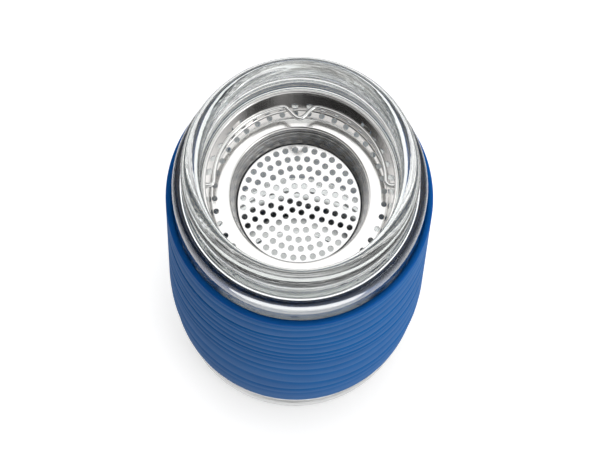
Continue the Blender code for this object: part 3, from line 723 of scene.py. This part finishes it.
def steel_finish(name, colour, roughness, ring_strength, cloud_strength):
    """Polished stainless steel with faint lines turned round the axis and a soft cloud."""
    finish, shader = new_finish(name, colour, roughness)
    shader.inputs["Metallic"].default_value = 1.0
    place = add_node(finish, "ShaderNodeTexCoord")
    apart = add_node(finish, "ShaderNodeSeparateXYZ", {"Vector": place.outputs["Object"]})
    flat = add_node(finish, "ShaderNodeCombineXYZ", {
        "X": apart.outputs["X"], "Y": apart.outputs["Y"]})
    reach = add_node(finish, "ShaderNodeVectorMath", {
        "Vector": flat.outputs["Vector"]}, operation="LENGTH")
    ring_place = add_node(finish, "ShaderNodeCombineXYZ", {
        "X": reach.outputs["Value"], "Y": apart.outputs["Z"]})
    rings = add_node(finish, "ShaderNodeTexNoise", {
        "Vector": ring_place.outputs["Vector"], "Scale": STEEL_RINGS_PER_M, "Detail": 3.0,
        "Roughness": 0.6})
    cloud = add_node(finish, "ShaderNodeTexNoise", {
        "Vector": place.outputs["Object"], "Scale": STEEL_CLOUDS_PER_M, "Detail": 2.0})
    ring_bump = add_node(finish, "ShaderNodeBump", {
        "Height": rings.outputs["Fac"], "Strength": ring_strength,
        "Distance": STEEL_RING_HEIGHT})
    cloud_bump = add_node(finish, "ShaderNodeBump", {
        "Height": cloud.outputs["Fac"], "Strength": cloud_strength,
        "Distance": STEEL_CLOUD_HEIGHT, "Normal": ring_bump.outputs["Normal"]})
    rough = add_node(finish, "ShaderNodeMapRange", {
        "Value": cloud.outputs["Fac"], "From Min": STEEL_CLOUD_LOW,
        "From Max": STEEL_CLOUD_HIGH, "To Min": roughness * STEEL_SMOOTH_SHARE,
        "To Max": roughness * STEEL_ROUGH_SHARE})
    feed(shader, "Roughness", rough.outputs["Result"])
    feed(shader, "Normal", cloud_bump.outputs["Normal"])
    return finish, shader


basket_finish, basket_shader = steel_finish(
    "turned_steel", BASKET_COLOUR, BASKET_ROUGHNESS, BASKET_RING_STRENGTH,
    BASKET_CLOUD_STRENGTH)
basket_shader.inputs["Anisotropic"].default_value = BASKET_ANISOTROPY
basket_round = add_node(basket_finish, "ShaderNodeTangent", direction_type="RADIAL", axis="Z")
feed(basket_shader, "Tangent", basket_round.outputs["Tangent"])
basket_place = add_node(basket_finish, "ShaderNodeTexCoord")
basket_apart = add_node(basket_finish, "ShaderNodeSeparateXYZ", {
    "Vector": basket_place.outputs["Object"]})

# The well's wall is duller than the rest, with fine lines one above the other in its surface,
# and its colour darker and lighter in bands that follow them
in_well = add_node(basket_finish, "ShaderNodeMapRange", {
    "Value": basket_apart.outputs["Z"], "From Min": WELL_LOW_Z, "From Max": WELL_HIGH_Z,
    "To Min": 1.0, "To Max": 0.0})
well_rough = add_node(basket_finish, "ShaderNodeMath", {
    0: in_well.outputs["Result"], 1: WELL_ROUGHNESS,
    2: basket_shader.inputs["Roughness"].links[0].from_socket}, operation="MULTIPLY_ADD")
feed(basket_shader, "Roughness", well_rough.outputs["Value"])
draw_lines = add_node(basket_finish, "ShaderNodeTexNoise", {
    "W": basket_apart.outputs["Z"], "Scale": DRAW_LINES_PER_M, "Detail": 2.0,
    "Roughness": 0.6}, noise_dimensions="1D")
well_band_tone = add_node(basket_finish, "ShaderNodeMapRange", {
    "Value": draw_lines.outputs["Fac"], "From Min": DRAW_LINE_LOW,
    "From Max": DRAW_LINE_HIGH, "To Min": WELL_BAND_DARK, "To Max": WELL_BAND_LIGHT})
well_tone = add_node(basket_finish, "ShaderNodeMix", {
    "Factor": in_well.outputs["Result"], "A": 1.0, "B": well_band_tone.outputs["Result"]})
toned = add_node(basket_finish, "ShaderNodeVectorMath", {
    "Vector": BASKET_COLOUR, "Scale": well_tone.outputs["Result"]}, operation="SCALE")
feed(basket_shader, "Base Color", toned.outputs["Vector"])
draw_bump = add_node(basket_finish, "ShaderNodeBump", {
    "Height": draw_lines.outputs["Fac"], "Strength": in_well.outputs["Result"],
    "Distance": DRAW_LINE_HEIGHT,
    "Normal": basket_shader.inputs["Normal"].links[0].from_socket})

# The wall above the shoulder has upright streaks
basket_around = add_node(basket_finish, "ShaderNodeCombineXYZ", {
    "X": basket_apart.outputs["X"], "Y": basket_apart.outputs["Y"]})
wall_streaks = add_node(basket_finish, "ShaderNodeTexNoise", {
    "Vector": basket_around.outputs["Vector"], "Scale": WALL_STREAKS_PER_M, "Detail": 3.0,
    "Roughness": 0.6})
on_wall = add_node(basket_finish, "ShaderNodeMapRange", {
    "Value": basket_apart.outputs["Z"], "From Min": WALL_STREAK_LOW_Z,
    "From Max": WALL_STREAK_HIGH_Z, "To Min": 0.0, "To Max": 1.0})
streak_bump = add_node(basket_finish, "ShaderNodeBump", {
    "Height": wall_streaks.outputs["Fac"], "Strength": on_wall.outputs["Result"],
    "Distance": WALL_STREAK_HEIGHT, "Normal": draw_bump.outputs["Normal"]})
feed(basket_shader, "Normal", streak_bump.outputs["Normal"])

basket = make_basket()
dress(basket, basket_finish)
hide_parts("infuser_basket")
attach(basket, "infuser")


# Strainer disc: a flat stamped disc of 0.5 mm steel with rings of punched holes, dropped
# onto the well's ledge and spot welded there. The punched edges are slightly rounded.
DISC_R = 18.48 * MM
DISC_SIDES = 180
DISC_MIDDLE_Z = 114.75 * MM
DISC_THICKNESS = 0.5 * MM
DISC_EDGE_ROUND = 0.06 * MM
DISC_EDGE_STEPS = 1
DISC_HOLE_R = 0.875 * MM
DISC_HOLE_SIDES = 24
DISC_RING_PITCH = 2.81 * MM
DISC_RINGS = 6
DISC_FIRST_RING_HOLES = 6
DISC_TURN = math.radians(44.0)
DISC_MERGE = 0.002 * MM
DISC_FLAT_FACE = 0.99
DISC_COLOUR = (0.81, 0.81, 0.81)
DISC_ROUGHNESS = 0.12
DISC_RING_STRENGTH = 0.12
DISC_CLOUD_STRENGTH = 0.015


def make_disc():
    """A filled outline with its holes, given its thickness and moved to its height."""
    curve = bpy.data.curves.new("strainer", "CURVE")
    curve.dimensions = "2D"
    curve.fill_mode = "BOTH"
    curve.extrude = DISC_THICKNESS / 2.0 - DISC_EDGE_ROUND
    curve.bevel_depth = DISC_EDGE_ROUND
    curve.bevel_resolution = DISC_EDGE_STEPS
    curve.offset = -DISC_EDGE_ROUND

    def ring(x, y, radius, sides):
        spline = curve.splines.new("POLY")
        spline.points.add(sides - 1)
        spline.use_cyclic_u = True
        for k, point in enumerate(spline.points):
            angle = FULL_TURN * k / sides
            point.co = (x + radius * math.cos(angle), y + radius * math.sin(angle), 0.0, 1.0)

    ring(0.0, 0.0, DISC_R, DISC_SIDES)
    ring(0.0, 0.0, DISC_HOLE_R, DISC_HOLE_SIDES)
    for step in range(1, DISC_RINGS + 1):
        holes = DISC_FIRST_RING_HOLES * step
        for i in range(holes):
            angle = DISC_TURN + FULL_TURN * i / holes
            radius = step * DISC_RING_PITCH
            ring(radius * math.cos(angle), radius * math.sin(angle),
                 DISC_HOLE_R, DISC_HOLE_SIDES)
    shape = bpy.data.objects.new("strainer", curve)
    bpy.context.scene.collection.objects.link(shape)
    bpy.context.view_layer.update()
    evaluated = shape.evaluated_get(bpy.context.evaluated_depsgraph_get())
    mesh = bpy.data.meshes.new_from_object(evaluated)
    bpy.data.objects.remove(shape, do_unlink=True)
    merged = bmesh.new()
    merged.from_mesh(mesh)
    bmesh.ops.remove_doubles(merged, verts=merged.verts, dist=DISC_MERGE)
    bmesh.ops.recalc_face_normals(merged, faces=merged.faces)
    bmesh.ops.translate(merged, verts=merged.verts, vec=(0.0, 0.0, DISC_MIDDLE_Z))
    merged.to_mesh(mesh)
    merged.free()
    for polygon in mesh.polygons:
        polygon.use_smooth = abs(polygon.normal.z) < DISC_FLAT_FACE
    disc = bpy.data.objects.new("punched_disc", mesh)
    bpy.context.scene.collection.objects.link(disc)
    return disc


disc_finish = steel_finish("brushed_steel", DISC_COLOUR, DISC_ROUGHNESS,
                           DISC_RING_STRENGTH, DISC_CLOUD_STRENGTH)[0]

disc = make_disc()
dress(disc, disc_finish)
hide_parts("strainer_disc")
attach(disc, "infuser")


# Bail: one length of 1.3 mm spring-steel wire bent to a bow with a notch for a fingertip.
# Its ends are turned out and sprung into two holes in the basket's wall, where it swings.
WIRE_R = 0.65 * MM
WIRE_ROUND_STEPS = 6
BAIL_R = 25.5 * MM
BAIL_REACH = 25.4 * MM
BAIL_DROOP = math.radians(4.5)
BAIL_BEND_R = 1.6 * MM
BAIL_BEND_STEPS = 10
BAIL_BOW_STEPS = 40
BAIL_END_X = 28.52 * MM
NOTCH_DEPTH = 4.1 * MM
NOTCH_HALF_WIDTH = 5.3 * MM
NOTCH_STEPS = 24
WIRE_COLOUR = (0.82, 0.82, 0.81)
WIRE_ROUGHNESS = 0.10
WIRE_MARKS_PER_M = 700.0
WIRE_MARK_STRENGTH = 0.2
WIRE_MARK_HEIGHT = 0.03 * MM


def bail_path():
    """The wire's middle line, with its pivot axis along X and the bow towards +Y."""
    notch_angle = math.asin(NOTCH_HALF_WIDTH / BAIL_R)
    reach = BAIL_REACH - BAIL_BEND_R
    half = []
    for i in range(NOTCH_STEPS + 1):
        angle = notch_angle * i / NOTCH_STEPS
        dip = NOTCH_DEPTH * (0.5 + 0.5 * math.cos(math.pi * angle / notch_angle))
        half.append((BAIL_R * math.sin(angle), BAIL_BEND_R + reach * math.cos(angle) - dip))
    for i in range(1, BAIL_BOW_STEPS + 1):
        angle = notch_angle + (math.pi / 2.0 - notch_angle) * i / BAIL_BOW_STEPS
        half.append((BAIL_R * math.sin(angle), BAIL_BEND_R + reach * math.cos(angle)))
    half += arc_line(BAIL_R + BAIL_BEND_R, BAIL_BEND_R, BAIL_BEND_R,
                     180.0, 270.0, BAIL_BEND_STEPS)[1:]
    half.append((BAIL_END_X, 0.0))
    return [(-x, y, 0.0) for x, y in reversed(half)] + [(x, y, 0.0) for x, y in half[1:]]


def make_bail():
    """A round wire along the path, hung at its pivot and folded to the back."""
    curve = bpy.data.curves.new("bail_wire", "CURVE")
    curve.dimensions = "3D"
    curve.bevel_depth = WIRE_R
    curve.bevel_resolution = WIRE_ROUND_STEPS
    curve.use_fill_caps = True
    points = bail_path()
    spline = curve.splines.new("POLY")
    spline.points.add(len(points) - 1)
    for target, point in zip(spline.points, points):
        target.co = (*point, 1.0)
    spline.use_smooth = True
    wire = bpy.data.objects.new("bail_wire", curve)
    wire.location = (0.0, 0.0, BAIL_PIVOT_Z)
    wire.rotation_euler = (-BAIL_DROOP, 0.0, 0.0)
    bpy.context.scene.collection.objects.link(wire)
    return wire


bail_finish, bail_shader = new_finish("bright_wire", WIRE_COLOUR, WIRE_ROUGHNESS)
bail_shader.inputs["Metallic"].default_value = 1.0
wire_place = add_node(bail_finish, "ShaderNodeTexCoord")
wire_marks = add_node(bail_finish, "ShaderNodeTexNoise", {
    "Vector": wire_place.outputs["Object"], "Scale": WIRE_MARKS_PER_M, "Detail": 3.0})
wire_bump = add_node(bail_finish, "ShaderNodeBump", {
    "Height": wire_marks.outputs["Fac"], "Strength": WIRE_MARK_STRENGTH,
    "Distance": WIRE_MARK_HEIGHT})
feed(bail_shader, "Normal", wire_bump.outputs["Normal"])

bail = make_bail()
dress(bail, bail_finish)
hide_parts("bail_handle")
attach(bail, "bail")


# Table: a plain white sheet that keeps the mug's soft shadow. Under the mug its colour is dark,
# a painted shadow, and it adds white of its own where it is seen, so that it fades into the
# background.
TABLE_HALF = 2.0
TABLE_RAMP_R = 60.0 * MM
TABLE_DARK_R = 33.0 * MM
TABLE_PALE_R = 37.0 * MM
TABLE_PAINTED_SHADE = 0.08
TABLE_PALE = 0.70

# How much white the table adds at a distance from the mug's axis in millimetres: some under
# the clear base, which is painted light, none under the foot that rests on it, which is painted
# shadow, and the most away from the mug
TABLE_WHITE_AND_PAINTED_LIGHT_RINGS = [(24.0, 0.60), (27.0, 0.0), (33.5, 0.0), (36.3, 0.60), (50.0, 0.72)]

table_mesh = bpy.data.meshes.new("table")
table_mesh.from_pydata([(-TABLE_HALF, -TABLE_HALF, 0.0), (TABLE_HALF, -TABLE_HALF, 0.0),
                        (TABLE_HALF, TABLE_HALF, 0.0), (-TABLE_HALF, TABLE_HALF, 0.0)],
                       [], [(0, 1, 2, 3)])
table = bpy.data.objects.new("table", table_mesh)
bpy.context.scene.collection.objects.link(table)
table_finish = bpy.data.materials.new("white_table")
table_finish.use_nodes = True
table_finish.node_tree.nodes.clear()
table_place = add_node(table_finish, "ShaderNodeTexCoord")
table_reach = add_node(table_finish, "ShaderNodeVectorMath", {
    "Vector": table_place.outputs["Object"]}, operation="LENGTH")
# The table's colour is dark under the mug: a painted shadow
table_painted_shade = add_node(table_finish, "ShaderNodeMapRange", {
    "Value": table_reach.outputs["Value"], "From Min": TABLE_DARK_R,
    "From Max": TABLE_PALE_R, "To Min": TABLE_PAINTED_SHADE, "To Max": TABLE_PALE})
# The white glow it adds: painted light under the clear base and painted shadow under the foot
table_share = add_node(table_finish, "ShaderNodeMath", {
    0: table_reach.outputs["Value"], 1: TABLE_RAMP_R}, operation="DIVIDE")
table_white_and_painted_light = add_node(table_finish, "ShaderNodeValToRGB", {
    "Fac": table_share.outputs["Value"]})
for place, shade in TABLE_WHITE_AND_PAINTED_LIGHT_RINGS:
    stop = table_white_and_painted_light.color_ramp.elements.new(place * MM / TABLE_RAMP_R)
    stop.color = (shade, shade, shade, 1.0)
table_white_and_painted_light.color_ramp.elements.remove(table_white_and_painted_light.color_ramp.elements[0])
table_white_and_painted_light.color_ramp.elements.remove(table_white_and_painted_light.color_ramp.elements[-1])
table_path = add_node(table_finish, "ShaderNodeLightPath")
table_seen = add_node(table_finish, "ShaderNodeMath", {
    0: table_path.outputs["Is Camera Ray"], 1: table_path.outputs["Is Glossy Ray"]},
    operation="MAXIMUM")
table_seen_through = add_node(table_finish, "ShaderNodeMath", {
    0: table_seen.outputs["Value"], 1: table_path.outputs["Is Transmission Ray"]},
    operation="MAXIMUM")
table_level = add_node(table_finish, "ShaderNodeMath", {
    0: table_seen_through.outputs["Value"], 1: table_white_and_painted_light.outputs["Color"]},
    operation="MULTIPLY")
table_diffuse = add_node(table_finish, "ShaderNodeBsdfDiffuse", {
    "Color": table_painted_shade.outputs["Result"]})
table_glow = add_node(table_finish, "ShaderNodeEmission", {
    "Color": (1.0, 1.0, 1.0, 1.0), "Strength": table_level.outputs["Value"]})
table_sum = add_node(table_finish, "ShaderNodeAddShader", {
    0: table_diffuse.outputs[0], 1: table_glow.outputs[0]})
add_node(table_finish, "ShaderNodeOutputMaterial", {"Surface": table_sum.outputs[0]})
table_mesh.materials.append(table_finish)


# Room: pure white where the camera sees it. What the mug reflects and bends is a grey room
# with brighter patches at the back, at the front right and overhead, and darker ones at the
# front left and high up at the front and at both sides.
ROOM_LEVEL = 0.60
ROOM_DARKEST = 0.03

# Each patch's direction, the angles in degrees from it at which the patch starts and is full,
# and the level it adds
ROOM_PATCHES = [
    ((0.10, 1.0, 0.45), 80.0, 35.0, 0.28),
    ((0.82, -0.58, 0.20), 72.0, 30.0, 0.55),
    ((0.05, 0.24, 0.97), 34.0, 18.0, 0.49),
    ((-0.80, -0.60, 0.20), 65.0, 25.0, -0.35),
    ((0.05, -0.52, 0.85), 32.0, 18.0, -0.60),
    ((-0.45, -0.10, 0.89), 28.0, 14.0, -0.45),
    ((0.46, -0.14, 0.87), 26.0, 12.0, -0.40)]

world = bpy.data.worlds.new("studio")
bpy.context.scene.world = world
world.use_nodes = True
world.node_tree.nodes.clear()
world_place = add_node(world, "ShaderNodeTexCoord")
level = ROOM_LEVEL
for direction, start, full, added in ROOM_PATCHES:
    toward = add_node(world, "ShaderNodeVectorMath", {
        0: world_place.outputs["Generated"], 1: tuple(Vector(direction).normalized())},
        operation="DOT_PRODUCT")
    patch = add_node(world, "ShaderNodeMapRange", {
        "Value": toward.outputs["Value"], "From Min": math.cos(math.radians(start)),
        "From Max": math.cos(math.radians(full)), "To Min": 0.0, "To Max": added},
        interpolation_type="SMOOTHSTEP")
    summed = add_node(world, "ShaderNodeMath", {
        0: patch.outputs["Result"], 1: level}, operation="ADD")
    level = summed.outputs["Value"]
room_level = add_node(world, "ShaderNodeMath", {0: level, 1: ROOM_DARKEST}, operation="MAXIMUM")
room = add_node(world, "ShaderNodeBackground", {
    "Color": (1.0, 1.0, 1.0, 1.0), "Strength": room_level.outputs["Value"]})
white = add_node(world, "ShaderNodeBackground", {
    "Color": (1.0, 1.0, 1.0, 1.0), "Strength": 1.0})
path = add_node(world, "ShaderNodeLightPath")
seen = add_node(world, "ShaderNodeMixShader", {
    0: path.outputs["Is Camera Ray"], 1: room.outputs[0], 2: white.outputs[0]})
add_node(world, "ShaderNodeOutputWorld", {"Surface": seen.outputs[0]})


# Lamp: one large soft disc at the front right, aimed at the middle of the mug. It lights
# the sleeve and gives the mug its soft shadow.
LAMP_PLACE = Vector((1.0, -0.75, 0.75))
LAMP_AIM = Vector((0.0, 0.0, 0.08))
LAMP_SIZE = 0.7
LAMP_WATTS = 3.0

lamp_data = bpy.data.lights.new("soft_lamp", "AREA")
lamp_data.shape = "DISK"
lamp_data.size = LAMP_SIZE
lamp_data.energy = LAMP_WATTS
lamp = bpy.data.objects.new("soft_lamp", lamp_data)
lamp.location = LAMP_PLACE
lamp.rotation_euler = (LAMP_PLACE - LAMP_AIM).to_track_quat("Z", "Y").to_euler()
bpy.context.scene.collection.objects.link(lamp)


# Camera: above the front of the mug, looking steeply down into it and rolled a little, at
# the photograph's angle. The lens is long, so that the mug narrows only slightly downwards.
CAMERA_ELEVATION = math.radians(74.602)
CAMERA_YAW = math.radians(-2.7)
CAMERA_ROLL = math.radians(2.766)
CAMERA_DISTANCE = 1.398878
CAMERA_PIVOT_Z = 0.124
CAMERA_AIM = Vector((0.000582, 0.0, 0.090369))
CAMERA_LENS = 281.08
CAMERA_SENSOR_WIDTH = 36.0
CAMERA_CLIP_END = 20.0
LIGHT_BOUNCES = 64

eye = Vector((0.0, -CAMERA_DISTANCE * math.cos(CAMERA_ELEVATION),
              CAMERA_PIVOT_Z + CAMERA_DISTANCE * math.sin(CAMERA_ELEVATION)))
away = (eye - CAMERA_AIM).normalized()
right = Vector((0.0, 0.0, 1.0)).cross(away).normalized()
up = away.cross(right)
rolled_right = right * math.cos(CAMERA_ROLL) + up * math.sin(CAMERA_ROLL)
rolled_up = up * math.cos(CAMERA_ROLL) - right * math.sin(CAMERA_ROLL)
stand = Matrix((rolled_right, rolled_up, away)).transposed().to_4x4()
stand.translation = eye
camera_data = bpy.data.cameras.new("camera")
camera_data.lens = CAMERA_LENS
camera_data.sensor_width = CAMERA_SENSOR_WIDTH
camera_data.clip_end = CAMERA_CLIP_END
camera = bpy.data.objects.new("camera", camera_data)
camera.matrix_world = Matrix.Rotation(CAMERA_YAW, 4, "Z") @ stand
bpy.context.scene.collection.objects.link(camera)
bpy.context.scene.camera = camera
bpy.context.scene.view_settings.view_transform = "Standard"
bpy.context.scene.cycles.max_bounces = LIGHT_BOUNCES
bpy.context.scene.cycles.transmission_bounces = LIGHT_BOUNCES
bpy.context.scene.cycles.glossy_bounces = LIGHT_BOUNCES
